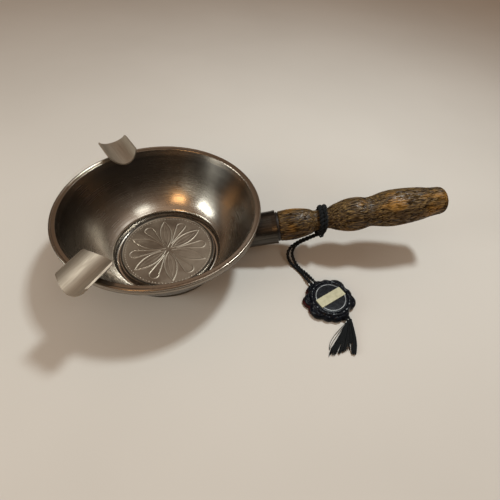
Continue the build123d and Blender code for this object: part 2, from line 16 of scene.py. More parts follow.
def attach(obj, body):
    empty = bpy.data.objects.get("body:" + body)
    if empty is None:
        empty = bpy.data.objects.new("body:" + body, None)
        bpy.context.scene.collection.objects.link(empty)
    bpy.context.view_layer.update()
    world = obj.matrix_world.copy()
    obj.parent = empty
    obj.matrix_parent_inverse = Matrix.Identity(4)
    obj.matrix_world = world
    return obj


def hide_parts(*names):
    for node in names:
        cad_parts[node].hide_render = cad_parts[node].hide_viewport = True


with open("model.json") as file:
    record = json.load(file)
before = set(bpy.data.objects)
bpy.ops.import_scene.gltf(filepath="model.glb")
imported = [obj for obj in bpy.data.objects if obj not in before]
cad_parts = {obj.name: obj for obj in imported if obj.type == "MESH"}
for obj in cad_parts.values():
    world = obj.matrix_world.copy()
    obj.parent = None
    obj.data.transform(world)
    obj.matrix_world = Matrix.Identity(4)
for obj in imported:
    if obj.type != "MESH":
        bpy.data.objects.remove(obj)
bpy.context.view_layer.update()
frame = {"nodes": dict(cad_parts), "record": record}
MM = 0.001

# Camera: where the photograph was taken from
camera_place = (32.52, -153.01, 185.92)
camera_heading = 9.91
camera_pitch = 50.19
camera_roll = 5.64
camera_lens = 24.65
camera_shift = (-0.009, 0.001)

# Cord, as in part.py
cord_radius = 0.8
neck_middle = 103.3
handle_rise = 11.2
handle_axis_height = 9.2
knot_centre = (102.702, -4.554, 20.805)
strand_left_start = (-1.3, 0.0, 0.1)
strand_right_start = (-1.5, -0.9, 0.8)
strand_left_route = (
    (-8.0, -4.9, 17.3),
    (-14.4, -5.5, 13.8),
    (-19.4, -6.6, 9.1),
    (-20.9, -9.3, 4.6),
    (-18.6, -14.1, 1.15),
    (-14.9, -18.4, 0.95),
    (-11.0, -24.8, 1.2),
)
strand_right_route = (
    (-8.0, -6.6, 18.1),
    (-14.3, -7.4, 14.9),
    (-17.4, -8.2, 10.6),
    (-17.8, -9.3, 5.8),
    (-16.0, -12.8, 2.1),
    (-13.5, -18.0, 1.0),
    (-8.8, -23.5, 1.2),
)
strand_spacing = 3.0

seal_hinge_reach = 17.3
tail_left_reach = 17.3
tail_right_bend = 15.9
tail_right_route = (
    (10.9, -62.8, 1.9),
    (10.6, -67.9, 1.4),
    (10.0, -72.6, 1.15),
    (8.9, -76.8, 1.15),
    (6.9, -80.8, 1.15),
)

# Two turns round the neck: turns from the knot, place along the handle and radius about its axis
knot_turn = 242.0
wrap_cord_radius = 1.3
wrap_stations = (
    (0.0, 99.7, 9.2),
    (0.06, 99.8, 8.6),
    (0.12, 100.3, 8.2),
    (0.2, 101.2, 8.15),
    (0.3, 102.5, 8.15),
    (0.436, 103.7, 8.15),
    (0.686, 102.5, 8.15),
    (0.828, 101.8, 8.15),
    (0.936, 101.1, 8.15),
    (1.0, 101.3, 8.15),
    (1.15, 103.4, 8.15),
    (1.3, 105.5, 8.15),
    (1.436, 106.5, 8.15),
    (1.686, 105.2, 8.15),
    (1.828, 104.0, 8.15),
    (1.936, 102.8, 8.4),
    (2.0, 102.0, 9.2),
)

# The knot: its middle by place along the handle, angle and radius about its axis, and the bight out of it
knot_lump = (101.9, 237.0, 9.0)
knot_cord_radius = 0.95
knot_half_sizes = (2.0, 1.5, 1.1)
bight_centre = (101.75, -6.2, 21.3)
bight_half_sizes = (1.2, 1.45)
bight_radius = 0.58

# Wax seal, as in part.py. The black wax has run down over the near edge of the red half
seal_centre_place = (1.45, -44.7, 0)
seal_body_radius = 13.8
seal_joint_height = 2.6
seal_field_height = 4.88
seal_field_radius = 10.5
seal_flange_height = 4.25
seal_rim_height = 5.5
seal_rim_middle = 11.9
seal_rim_half_width = 1.3
seal_edge_round = 1.7
seal_skirt_low = 1.0
seal_back_shift = (-0.9, -0.8, 0)
seal_back_set_back = 2.2
near_direction = -92
near_half_angle = 72
near_fade_angle = 30
notch_softness = 0.25
fold_depth = 1.5
fold_width = 0.55
fold_rise = 0.3
lobe_shares = (
    (-12.0, 1.19, 0.44),
    (-62.0, 1.15, 0.34),
    (-84.0, 1.14, 0.32),
    (-108.0, 1.12, 0.32),
    (-140.0, 1.22, 0.44),
    (178.0, 1.21, 0.36),
    (139.0, 1.15, 0.34),
    (117.0, 1.10, 0.32),
    (90.0, 1.08, 0.26),
    (55.0, 1.18, 0.44),
    (16.0, 1.12, 0.32),
)

# Tassel: each tuft's number of threads, a line across it at the root, at the middle and at the tips, and how
# much its lengths vary. Its threads gather in locks. Heights are those of the root, the middle and the tip
thread_radius = 0.2
thread_clearance = 0.05
thread_step = 0.5
thread_steps = 16
thread_heights = (1.9, 1.7, 0.9)
thread_lifts = (1.2, 1.0, 0.6)
phase_range = 6.28
tuft_lines = (
    (84, ((7.9, -61.3), (9.8, -59.5)), ((1.9, -68.4), (6.4, -70.0)), ((-6.9, -79.2), (-1.6, -80.3)), 0.13),
    (78, ((8.5, -61.0), (10.1, -59.7)), ((4.6, -68.8), (7.7, -69.2)), ((-2.4, -79.8), (4.8, -77.4)), 0.15),
    (36, ((9.0, -60.6), (10.6, -59.4)), ((7.2, -66.6), (9.8, -66.8)), ((5.9, -73.6), (8.6, -73.8)), 0.22),
    (9, ((9.2, -60.6), (10.3, -59.6)), ((6.9, -68.2), (8.6, -68.8)), ((3.9, -78.2), (6.1, -79.3)), 0.16),
)
threads_in_lock = 6
loose_threads = (
    ((8.2, -61.0), (3.9, -64.0), (-2.2, -69.3), (-5.6, -73.7), (-6.1, -76.6)),
    ((8.3, -61.2), (3.4, -65.6), (-1.4, -70.4), (-4.6, -74.0), (-6.2, -77.0)),
    ((8.4, -61.3), (2.6, -67.8), (-1.0, -71.8), (-3.4, -74.6), (-5.2, -76.2)),
    ((8.5, -61.4), (2.4, -69.0), (-2.0, -74.2), (-5.0, -77.6), (-7.6, -80.9)),
)

# The brush that the right tail ends in: where it starts, where its threads root and end in steps of the line,
# its half width at its start and end, and its half height at its start and what that loses
brush_count = 80
brush_start_share = 0.68
brush_overlap = 6
brush_roots = (4, 10)
brush_tips = (0, 4)
brush_spread = (0.55, 1.5)
brush_lift = 0.55
brush_lift_loss = 0.1

# Medallion relief. The rosette is a little off the disc's centre
medallion_radius = 30.8
medallion_border_width = 1.3
medallion_base = 4.3
medallion_field = 4.9
medallion_border_top = 5.7
medallion_line_colour_rise = 0.2
petal_count = 6
rosette_turn = 39.8
rosette_shift_y = -0.5
petal_root = 2.2
petal_end = 26.2
petal_half_width = 3.8
rib_root = 5.0
rib_end = 22.0
rib_half_width = 1.3
drop_root = 5.0
drop_reach = 22.0
drop_radius = 3.1
line_height = 0.22
line_width = 0.36
rib_height = 0.14
petal_hollow = 0.12
petal_clearance = 0.2
bead_ring_radius = 28.2
bead_count = 84
bead_radius = 0.42
bead_height = 0.25

# Grip: the rod's hole and where the wood starts along the handle, as in part.py. Then its carving: how far it
# takes to set in, half width of a groove and level and span of a pit in their noises, and the depths of plain
# wood, of a groove and of unevenness
rod_hole_radius = 3.2
grip_start = 75.3
grip_fade = 0.8
groove_half_width = 0.16
pit_level = 0.18
pit_span = 0.5
plain_depth = 0.05
groove_depth = 0.27
uneven_depth = 0.08

# Finish of the bowl by height: start and end of its darkening high up, of the lip's own tone and of the
# fading lathe lines
upper_darkening_heights = (12 * MM, 30 * MM)
lip_heights = (40.5 * MM, 42 * MM)
lathe_heights = (41.5 * MM, 43.5 * MM)

# Light: the world's colours and where its ramp starts, and the lamps' places, sizes, watts and colours
world_horizon = (0.045, 0.034, 0.026)
world_zenith = (0.50, 0.33, 0.22)
world_ramp_start = 0.28
lamp_target = (20, 0, 20)
lamps = (
    ("key", (238, 103, 530), 70, 2.1, (0.92, 0.98, 0.97)),
    ("warm", (-343, -764, 560), 260, 1.05, (1.0, 0.54, 0.22)),
    ("left", (-580, -155, 245), 260, 1.9, (0.97, 1.0, 0.94)),
    ("right", (340, -320, 570), 230, 0.4, (0.97, 1.0, 0.94)),
)
floor_reach = 4

# Twist of the cord: two plies laid round each other, which stand out up to 0.3 mm past the plain tube. A
# thicker cord's lay grows with its radius, up to a limit
ply_count = 2
ply_share = 0.57
ply_offset_share = 0.62
lay_length = 3.9
lay_growth_limit = 1.3
ply_sides = 8
twist_step = 0.3
strand_swell = 1.18
table_clearance = 0.02

scene = bpy.context.scene


def mm(point):
    """A point written in millimetres, in metres."""
    return Vector(point) * MM


def collect(obj):
    """Put a new object in the scene and hand it back."""
    scene.collection.objects.link(obj)
    return obj


def mesh_object(name, vertices, faces, material=None, smooth=True):
    """A mesh piece from vertices in metres."""
    mesh = bpy.data.meshes.new(name)
    mesh.from_pydata([tuple(v) for v in vertices], [], faces)
    mesh.validate()
    if smooth:
        mesh.shade_smooth()
    if material:
        mesh.materials.append(material)
    return collect(bpy.data.objects.new(name, mesh))


# Camera
heading = math.radians(camera_heading)
pitch = math.radians(camera_pitch)
roll = math.radians(camera_roll)
forward = Vector((math.sin(heading) * math.cos(pitch), math.cos(heading) * math.cos(pitch), -math.sin(pitch)))
level_right = Vector((math.cos(heading), -math.sin(heading), 0))
level_up = level_right.cross(forward)
right = level_right * math.cos(roll) + level_up * math.sin(roll)
up = level_up * math.cos(roll) - level_right * math.sin(roll)
camera_data = bpy.data.cameras.new("camera")
camera_data.lens = camera_lens
camera_data.shift_x, camera_data.shift_y = camera_shift
camera_data.clip_start = 0.01
camera = collect(bpy.data.objects.new("camera", camera_data))
turn = Matrix((right, up, -forward)).transposed().to_4x4()
camera.matrix_world = Matrix.Translation(mm(camera_place)) @ turn
scene.camera = camera


class Shader:
    """A node material whose nodes are made in one line each."""

    def __init__(self, name):
        self.material = bpy.data.materials.new(name)
        self.material.use_nodes = True
        self.tree = self.material.node_tree
        self.surface = self.tree.nodes["Principled BSDF"]

    def add(self, kind, inputs=None, **settings):
        """One node, its settings, and its inputs as values or as links from other sockets."""
        node = self.tree.nodes.new("ShaderNode" + kind)
        for key, value in settings.items():
            setattr(node, key, value)
        for key, value in (inputs or {}).items():
            if isinstance(value, bpy.types.NodeSocket):
                self.tree.links.new(value, node.inputs[key])
            else:
                node.inputs[key].default_value = value
        return node

    def place(self):
        """The point being shaded, in the row frame."""
        return self.add("TexCoord").outputs["Object"]

    def math(self, operation, a, b=0.0):
        """A sum, product or the like of two numbers or sockets."""
        return self.add("Math", {0: a, 1: b}, operation=operation).outputs[0]

    def ranged(self, value, low, high, start=0.0, end=1.0):
        """A value taken from one range to another, smooth at both ends."""
        inputs = {"Value": value, "From Min": low, "From Max": high, "To Min": start, "To Max": end}
        return self.add("MapRange", inputs, interpolation_type="SMOOTHSTEP").outputs["Result"]

    def noise(self, vector, scale, detail=2.0, roughness=0.5):
        """Noise between 0 and 1."""
        inputs = {"Vector": vector, "Scale": scale, "Detail": detail, "Roughness": roughness}
        return self.add("TexNoise", inputs).outputs["Fac"]

    def mix(self, share, first, second):
        """A colour between two others, each given as three numbers or as a socket."""
        colours = [c if isinstance(c, bpy.types.NodeSocket) else (*c, 1) for c in (first, second)]
        node = self.add("Mix", {0: share, 6: colours[0], 7: colours[1]}, data_type="RGBA")
        return node.outputs[2]

    def stretched(self, turn, lengths):
        """The place turned by angles and measured in lengths, given in metres along each turned axis."""
        inputs = {"Vector": self.place(), "Rotation": turn, "Scale": lengths}
        return self.add("Mapping", inputs, vector_type="TEXTURE").outputs["Vector"]

    def bump(self, height, strength, distance):
        """A bumped normal."""
        inputs = {"Height": height, "Strength": strength, "Distance": distance}
        return self.add("Bump", inputs).outputs["Normal"]

    def set(self, **inputs):
        """Inputs of the surface, with spaces in their names written as underscores."""
        for key, value in inputs.items():
            socket = self.surface.inputs[key.replace("_", " ")]
            if isinstance(value, bpy.types.NodeSocket):
                self.tree.links.new(value, socket)
            else:
                socket.default_value = value
        return self.material


def finish_piece(piece, body, slot, *nodes):
    """Hang a new piece on the body it rides on and hide the nodes it stands for. The slot is not used."""
    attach(piece, body)
    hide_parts(*nodes)


# Cords
def smooth_path(name, points):
    """Points along the smooth line of a cord's route, read from its spline."""
    curve = bpy.data.curves.new(name, "CURVE")
    curve.dimensions = "3D"
    curve.resolution_u = 24
    spline = curve.splines.new("NURBS")
    spline.points.add(len(points) - 1)
    for place, point in zip(spline.points, points):
        place.co = (*point, 1)
    spline.order_u = 3
    spline.use_endpoint_u = True
    holder = collect(bpy.data.objects.new(name, curve))
    mesh = bpy.data.meshes.new_from_object(holder)
    path = [v.co.copy() for v in mesh.vertices]
    bpy.data.objects.remove(holder)
    return path


def even_path(path, step):
    """The same line with points at about this spacing."""
    lengths = [0.0]
    for a, b in zip(path, path[1:]):
        lengths.append(lengths[-1] + (b - a).length)
    count = max(2, round(lengths[-1] / step))
    points = []
    j = 0
    for i in range(count + 1):
        along = lengths[-1] * i / count
        while j < len(path) - 2 and lengths[j + 1] < along:
            j += 1
        share = (along - lengths[j]) / max(lengths[j + 1] - lengths[j], 1e-12)
        points.append(path[j].lerp(path[j + 1], share))
    return points


def carried_frames(points):
    """A side and an upward direction at each point, carried along without twisting."""
    frames = []
    side = None
    for i in range(len(points)):
        ahead = (points[min(i + 1, len(points) - 1)] - points[max(i - 1, 0)]).normalized()
        if side is None:
            side = ahead.orthogonal().normalized()
        side = (side - ahead * side.dot(ahead)).normalized()
        frames.append((side, ahead.cross(side)))
    return frames


def ring_faces(count, sides, start_index=0, flipped=False):
    """Faces that join rings of vertices one after another, with closed ends."""
    walls = []
    for i in range(count - 1):
        for k in range(sides):
            a = start_index + i * sides + k
            b = start_index + i * sides + (k + 1) % sides
            walls.append((a, a + sides, b + sides, b) if flipped else (a, b, b + sides, a + sides))
    last = start_index + (count - 1) * sides
    first_cap = tuple(start_index + k for k in reversed(range(sides)))
    last_cap = tuple(last + k for k in range(sides))
    caps = [first_cap, last_cap]
    return walls + [cap[::-1] for cap in caps] if flipped else walls + caps


def tube_rings(points, radii, sides, start_index=0):
    """Rings of vertices about a line and the faces that join them, with closed ends."""
    vertices = []
    for (side, upward), point, radius in zip(carried_frames(points), points, radii):
        for k in range(sides):
            angle = 2 * math.pi * k / sides
            vertices.append(point + (side * math.cos(angle) + upward * math.sin(angle)) * radius)
    return vertices, ring_faces(len(points), sides, start_index)


def twisted_mesh(path, radius, start_index=0):
    """Vertices and faces of a cord of plies laid round each other along a path."""
    points = even_path(path, twist_step * MM)
    frames = carried_frames(points)
    lay = lay_length * min(radius / cord_radius, lay_growth_limit * MM)
    vertices = []
    faces = []
    for ply in range(ply_count):
        line = []
        along = 0.0
        for i, (point, (side, upward)) in enumerate(zip(points, frames)):
            if i:
                along += (point - points[i - 1]).length
            angle = 2 * math.pi * (along / lay + ply / ply_count)
            outward = side * math.cos(angle) + upward * math.sin(angle)
            line.append(point + outward * radius * ply_offset_share)
        radii = [radius * ply_share] * len(line)
        new_vertices, new_faces = tube_rings(line, radii, ply_sides, start_index + len(vertices))
        for vertex in new_vertices:
            vertex.z = max(vertex.z, table_clearance * MM)
        vertices += new_vertices
        faces += new_faces
    return vertices, faces


def black_yarn(name, colour):
    """Dull black cotton: fine fibres, browner in patches, and a faint sheen where it turns away."""
    s = Shader(name)
    fibres = s.noise(s.place(), 2400.0, 3.0, 0.6)
    hue = s.noise(s.place(), 500.0)
    shade = s.mix(s.ranged(fibres, 0.3, 0.75), [c * 0.5 for c in colour], [c * 2.1 for c in colour])
    browner = (colour[0] * 2.2, colour[1] * 1.6, colour[2] * 1.4)
    shade = s.mix(s.ranged(hue, 0.55, 0.8, 0.0, 0.5), shade, browner)
    s.set(Base_Color=shade, Roughness=0.8, Normal=s.bump(fibres, 0.7, 0.0002))
    return s.set(Sheen_Weight=0.04, Sheen_Roughness=0.5, Specular_IOR_Level=0.15)


neck_foot = Vector((neck_middle * math.cos(math.radians(handle_rise)), 0, 0))
hinge = next(j for j in frame["record"]["behaviour"]["joints"] if j["name"] == "seal_swing")
hinge_middle = Vector(hinge["pos_m"])
hinge_side = Vector(hinge["axis"])
seal_axis = Vector((0, 0, 1)).cross(hinge_side) * -1
left_flex = hinge_middle + hinge_side * (strand_spacing / 2 * MM)
right_flex = hinge_middle - hinge_side * (strand_spacing / 2 * MM)
cord_material = black_yarn("black cord", (0.005, 0.0065, 0.008))


def strand_points(start, route, flex):
    """A strand's route points, from inside the knot to its flex point."""
    return [mm(knot_centre) + mm(start)] + [mm(neck_foot + Vector(p)) for p in route] + [flex]


def free_strand(name, start, route, flex):
    """A strand from the knot to the seal."""
    line = smooth_path(name + "_line", strand_points(start, route, flex))
    strand = mesh_object(name, *twisted_mesh(line, cord_radius * strand_swell * MM), cord_material)
    finish_piece(strand, "pan", "black_cord", "cord_" + name)


free_strand("strand_left", strand_left_start, strand_left_route, left_flex)
free_strand("strand_right", strand_right_start, strand_right_route, right_flex)

# The cord round the neck, its knot, and the tails
handle_foot = Vector((0, 0, handle_axis_height))
rise = math.radians(handle_rise)
along = Vector((math.cos(rise), 0, math.sin(rise)))
across = Vector((0, 1, 0))
cross = along.cross(across)


def handle_point(place, angle, radius):
    """A point at a place along the handle, an angle about its axis from +Y, and a radius."""
    return handle_foot + along * place + (across * math.cos(angle) + cross * math.sin(angle)) * radius


def wrap_line():
    """The wrapped cord's centre line, through its stations and smoothed."""
    count = 400
    half_window = 20
    turns = np.linspace(0, wrap_stations[-1][0], count)
    kernel = np.hanning(2 * half_window + 1)
    kernel /= kernel.sum()
    smooth = []
    for column in (1, 2):
        values = np.interp(turns, [s[0] for s in wrap_stations], [s[column] for s in wrap_stations])
        padded = np.concatenate([np.full(half_window, values[0]), values, np.full(half_window, values[-1])])
        smooth.append(np.convolve(padded, kernel, "valid"))
    angles = math.radians(knot_turn) + 2 * math.pi * turns
    return [mm(handle_point(p, a, r)) for p, a, r in zip(smooth[0], angles, smooth[1])]


wrap = mesh_object("neck_wrap", *twisted_mesh(wrap_line(), wrap_cord_radius * MM), cord_material)
finish_piece(wrap, "pan", "black_cord", "cord_wrap")


def knot_mesh():
    """A closed overhand knot drawn tight, and the small bight out of it, whose ring faces the camera."""
    lump = handle_point(knot_lump[0], math.radians(knot_lump[1]), knot_lump[2])
    outward = handle_point(0, math.radians(knot_lump[1]), 1) - handle_foot
    upward = along.cross(outward)
    knot_steps = 120
    path = []
    for k in range(knot_steps + 1):
        u = 2 * math.pi * k / knot_steps
        a = (math.sin(u) + 2 * math.sin(2 * u)) / 3 * knot_half_sizes[0]
        b = (math.cos(u) - 2 * math.cos(2 * u)) / 3 * knot_half_sizes[1]
        c = -math.sin(3 * u) * knot_half_sizes[2]
        path.append(mm(lump + along * a + upward * b + outward * c))
    vertices, faces = twisted_mesh(path, knot_cord_radius * MM)
    sight = (Vector(bight_centre) - Vector(camera_place)).normalized()
    level = sight.cross(Vector((0, 0, 1))).normalized()
    bight_steps = 48
    path = []
    for k in range(bight_steps + 1):
        u = 2 * math.pi * k / bight_steps + math.pi / 2
        offset = level * (math.cos(u) * bight_half_sizes[0])
        offset += level.cross(sight) * (math.sin(u) * bight_half_sizes[1])
        path.append(mm(Vector(bight_centre) + offset))
    more_vertices, more_faces = twisted_mesh(path, bight_radius * MM, len(vertices))
    return vertices + more_vertices, faces + more_faces


knot = mesh_object("neck_knot", *knot_mesh(), cord_material)
finish_piece(knot, "pan", "black_cord", "cord_knot")

left_tail_end = left_flex - seal_axis * ((seal_hinge_reach + tail_left_reach) * MM)
left_tail = twisted_mesh([left_flex, left_tail_end], cord_radius * MM)
tail_left = mesh_object("tail_left", *left_tail, cord_material)
finish_piece(tail_left, "seal", "black_cord", "cord_tail_left")


def thread(points, radius, start_index, sides=5):
    """One loose thread through points in metres, thinner towards its tip."""
    last = len(points) - 1
    return tube_rings(points, [radius * (1 - 0.3 * k / last) for k in range(last + 1)], sides, start_index)


def tail_right_mesh():
    """The right tail, and the narrow brush that it ends in."""
    bend = right_flex - seal_axis * ((seal_hinge_reach + tail_right_bend) * MM)
    route = [mm(neck_foot + Vector(p)) for p in tail_right_route]
    line = even_path(smooth_path("tail_right_line", [right_flex, bend] + route), thread_step * MM)
    cut = round(len(line) * brush_start_share)
    vertices, faces = twisted_mesh(line[: cut + brush_overlap], cord_radius * MM)
    draw = random.Random(11)
    for _ in range(brush_count):
        angle = draw.uniform(0, 2 * math.pi)
        share = math.sqrt(draw.uniform(0, 1))
        start = cut - draw.randint(*brush_roots)
        stop = len(line) - draw.randint(*brush_tips)
        sway = (draw.uniform(0.03, 0.12), draw.uniform(0, phase_range))
        points = []
        for i in range(start, stop):
            t = (i - start) / (stop - start)
            ahead = (line[min(i + 1, len(line) - 1)] - line[i - 1]).normalized()
            side = ahead.cross(Vector((0, 0, 1))).normalized()
            spread = brush_spread[0] + (brush_spread[1] - brush_spread[0]) * t
            lift = brush_lift - brush_lift_loss * t
            shift = math.cos(angle) * share * spread + sway[0] * math.sin(5 * t + sway[1])
            point = line[i] + side * (shift * MM) + Vector((0, 0, math.sin(angle) * share * lift * MM))
            point.z = max(point.z, (thread_radius + thread_clearance) * MM)
            points.append(point)
        new_vertices, new_faces = thread(points, thread_radius * MM, len(vertices))
        vertices += new_vertices
        faces += new_faces
    return vertices, faces


tail_right = mesh_object("tail_right", *tail_right_mesh(), cord_material)
finish_piece(tail_right, "seal", "black_cord", "cord_tail_right")


# Tassel of loose threads
def between(line, share):
    """A point on a line given by its two ends, relative to the neck's foot."""
    a, b = line
    return neck_foot + Vector((a[0] + (b[0] - a[0]) * share, a[1] + (b[1] - a[1]) * share, 0))


def thread_height(level, lift):
    """The height of a thread at its root, middle or tip, as an upward shift."""
    return Vector((0, 0, thread_heights[level] + lift * thread_lifts[level]))


def tassel_mesh():
    """Threads that leave the root together, part into tufts and end at uneven lengths."""
    draw = random.Random(7)
    vertices = []
    faces = []
    for count, root_line, middle_line, tip_line, jitter in tuft_lines:
        locks = [(draw.uniform(0, 1), draw.uniform(-1, 1)) for _ in range(max(2, count // threads_in_lock))]
        for k in range(count):
            lock_share, lock_lift = locks[k % len(locks)]
            share = lock_share + draw.uniform(-0.05, 0.05)
            lift = lock_lift * 0.7 + draw.uniform(-0.3, 0.3)
            start = between(root_line, share) + thread_height(0, lift)
            middle = between(middle_line, share + draw.uniform(-0.06, 0.06)) + thread_height(1, lift)
            tip = between(tip_line, share + draw.uniform(-0.08, 0.08)) + thread_height(2, lift)
            tip = middle + (tip - middle) * (1 + draw.uniform(-1.6 * jitter, 0.6 * jitter))
            sway = (draw.uniform(0.1, 0.55), draw.uniform(0.7, 2.2), draw.uniform(0, phase_range))
            points = []
            for i in range(thread_steps + 1):
                t = i / thread_steps
                point = start * (1 - t) ** 2 + middle * (2 * t * (1 - t)) + tip * t**2
                point += hinge_side * (sway[0] * math.sin(2 * math.pi * sway[1] * t + sway[2]) * t)
                point.z = max(point.z, thread_radius + thread_clearance)
                points.append(mm(point))
            new_vertices, new_faces = thread(points, thread_radius * MM, len(vertices))
            vertices += new_vertices
            faces += new_faces
    for route in loose_threads:
        heights = np.linspace(2.0, 0.4, len(route))
        points = [mm(neck_foot + Vector((*p, z))) for p, z in zip(route, heights)]
        line = even_path(smooth_path("loose_thread_line", points), thread_step * MM)
        new_vertices, new_faces = thread(line, thread_radius * MM, len(vertices))
        vertices += new_vertices
        faces += new_faces
    return vertices, faces


tassel = mesh_object("tassel_threads", *tassel_mesh(), black_yarn("tassel yarn", (0.0055, 0.0072, 0.0085)))
finish_piece(tassel, "seal", "black_yarn", "tassel")


# Wax seal
def wax_material(name, colour, roughness):
    """Poured and pressed wax: soft dents, fine pits and a dull gloss."""
    s = Shader(name)
    dents = s.noise(s.place(), 380.0)
    pits = s.noise(s.place(), 2600.0)
    shade = s.mix(s.ranged(dents, 0.35, 0.7), [c * 0.75 for c in colour], [c * 1.5 for c in colour])
    height = s.math("ADD", dents, s.math("MULTIPLY", pits, 0.12))
    gloss = s.ranged(pits, 0.3, 0.7, roughness - 0.06, roughness + 0.1)
    s.set(Specular_IOR_Level=0.1)
    return s.set(Base_Color=shade, Roughness=gloss, Normal=s.bump(height, 0.18, 0.0004))


seal_centre = neck_foot + Vector(seal_centre_place)
seal_back_centre = seal_centre + Vector(seal_back_shift)


def outline_radius(angle):
    """How far the scalloped outline reaches in a direction, with its notches softened."""
    reaches = [seal_body_radius]
    for direction, reach_share, size_share in lobe_shares:
        size = seal_body_radius * size_share
        reach = seal_body_radius * reach_share - size
        swing = angle - math.radians(direction)
        inside = size**2 - (reach * math.sin(swing)) ** 2
        if inside > 0 and math.cos(swing) > 0:
            reaches.append(reach * math.cos(swing) + math.sqrt(inside))
    top = max(reaches)
    total = sum(math.exp((r - top) / notch_softness) for r in reaches)
    return top + notch_softness * math.log(total) - notch_softness / 2


def nearness(angle):
    """1 on the seal's near side, where the black wax has run down, and 0 on its far side."""
    swing = abs((math.degrees(angle) - near_direction + 180) % 360 - 180)
    share = min(max((near_half_angle - swing) / near_fade_angle, 0), 1)
    return share * share * (3 - 2 * share)


def ringed_disc(name, centre, rings, sides, material):
    """A closed disc from rings of (radius, height) given by direction, from its underside over its edge."""
    sections = [rings(2 * math.pi * k / sides) for k in range(sides)]
    count = len(sections[0])
    vertices = []
    for ring in range(count):
        for k, section in enumerate(sections):
            angle = 2 * math.pi * k / sides
            radius, height = section[ring]
            vertices.append(mm(centre + Vector((radius * math.cos(angle), radius * math.sin(angle), height))))
    return mesh_object(name, vertices, ring_faces(count, sides), material)


def back_rings(angle):
    """Section of the red half in one direction. On the near side it stays under the black wax."""
    reach = outline_radius(angle) - seal_back_set_back * nearness(angle)
    wave = 0.12 * math.sin(5 * angle + 1) + 0.08 * math.sin(11 * angle)
    return [
        (reach - 1.6, 0.0),
        (reach - 0.9, 0.05),
        (reach - 0.3, 0.35),
        (reach, 0.9),
        (reach + 0.03, 1.5 + wave),
        (reach - 0.25, 2.1 + wave),
        (reach - 0.8, 2.5),
        (reach - 1.8, 2.6),
    ]


def lumps(point, scale, seed):
    """Soft unevenness of wax, between about -1 and 1."""
    return noise.noise(point * scale + Vector((seed, 2 * seed, 0)))


def front_rings(angle):
    """Section of the black half in one direction: skirt, rounded edge, flange, rim and field."""
    edge = outline_radius(angle) + 0.2 * nearness(angle)
    low = seal_joint_height + (seal_skirt_low - seal_joint_height) * nearness(angle)
    spoke = Vector((math.cos(angle), math.sin(angle), 0))
    rings = [(edge - 1.5, low + 0.1), (edge - 0.5, low)]
    steps = 64
    for k in range(steps):
        depth = (k / (steps - 1)) ** 1.3 * (edge - 0.4)
        radius = edge - depth
        point = spoke * radius
        shoulder = min(depth / seal_edge_round, 1.0)
        top = seal_flange_height + 0.45 * lumps(point, 0.42, 3) + 0.15 * lumps(point, 1.1, 5)
        fold = math.exp(-(((depth - fold_depth - 0.5 * lumps(spoke, 2.5, 9)) / fold_width) ** 2))
        top += fold_rise * fold
        rim = math.exp(-(((radius - seal_rim_middle) / seal_rim_half_width) ** 4))
        top += (seal_rim_height + 0.22 * lumps(point, 0.6, 4) - top) * rim
        inner = min(max((seal_field_radius + 0.5 - radius) / 0.8, 0), 1)
        top += (seal_field_height - top) * inner * inner * (3 - 2 * inner)
        height = low + 0.15 + (top - low - 0.15) * math.sqrt(1 - (1 - shoulder) ** 2)
        rings.append((radius, height))
    return rings


black_wax = wax_material("black wax", (0.004, 0.005, 0.008), 0.24)
red_wax = wax_material("dark red wax", (0.028, 0.0045, 0.0045), 0.34)
back_sides = 360
front_sides = 480
seal_back = ringed_disc("seal_back_wax", seal_back_centre, back_rings, back_sides, red_wax)
finish_piece(seal_back, "seal", "dark_red_wax", "seal_back")
seal_front = ringed_disc("seal_front_wax", seal_centre, front_rings, front_sides, black_wax)
finish_piece(seal_front, "seal", "black_wax", "seal_front")


# Medallion
def lens_distance(u, v, root, end, half_width):
    """Distance from the outline of a lancet between two points on the u axis, negative inside it."""
    half_length = (end - root) / 2
    drop = (half_length**2 - half_width**2) / (2 * half_width)
    return np.hypot(u - (root + end) / 2, np.abs(v) + drop) - (drop + half_width)


def ridge(distance, height):
    """A raised line of the relief at this distance from its middle."""
    return height * np.exp(-((distance / line_width) ** 2))


def medallion_height(x, y):
    """Relief of the rosette above the field."""
    outer = np.hypot(x, y)
    outer_turn = np.arctan2(y, x)
    y = y - rosette_shift_y
    radius = np.hypot(x, y)
    sector = 2 * math.pi / petal_count
    turned = np.arctan2(y, x) - math.radians(rosette_turn)
    petal_angle = (turned + sector / 2) % sector - sector / 2
    drop_angle = turned % sector - sector / 2
    u = radius * np.cos(petal_angle)
    v = radius * np.sin(petal_angle)
    petal = lens_distance(u, v, petal_root, petal_end, petal_half_width)
    rib = lens_distance(u, v, rib_root, rib_end, rib_half_width)
    height = np.maximum(ridge(petal, line_height), ridge(rib, rib_height))
    height = height - petal_hollow * np.clip(-petal / petal_half_width, 0, 1)
    u = radius * np.cos(drop_angle)
    v = radius * np.sin(drop_angle)
    width = drop_radius * np.clip((u - drop_root) / (drop_reach - drop_root), 0, 1)
    far_off = 9.0
    flank = np.where(u > drop_root, np.abs(v) - width, far_off)
    drop = np.where(u > drop_reach, np.hypot(u - drop_reach, v) - drop_radius, flank)
    height = np.maximum(height, (petal > petal_clearance) * ridge(drop, line_height))
    bead_step = 2 * math.pi / bead_count
    bead_angle = (outer_turn + bead_step / 2) % bead_step - bead_step / 2
    bead = np.hypot(outer - bead_ring_radius, outer * bead_angle) / bead_radius
    return np.maximum(height, bead_height * np.sqrt(np.clip(1 - bead**2, 0, 1)))


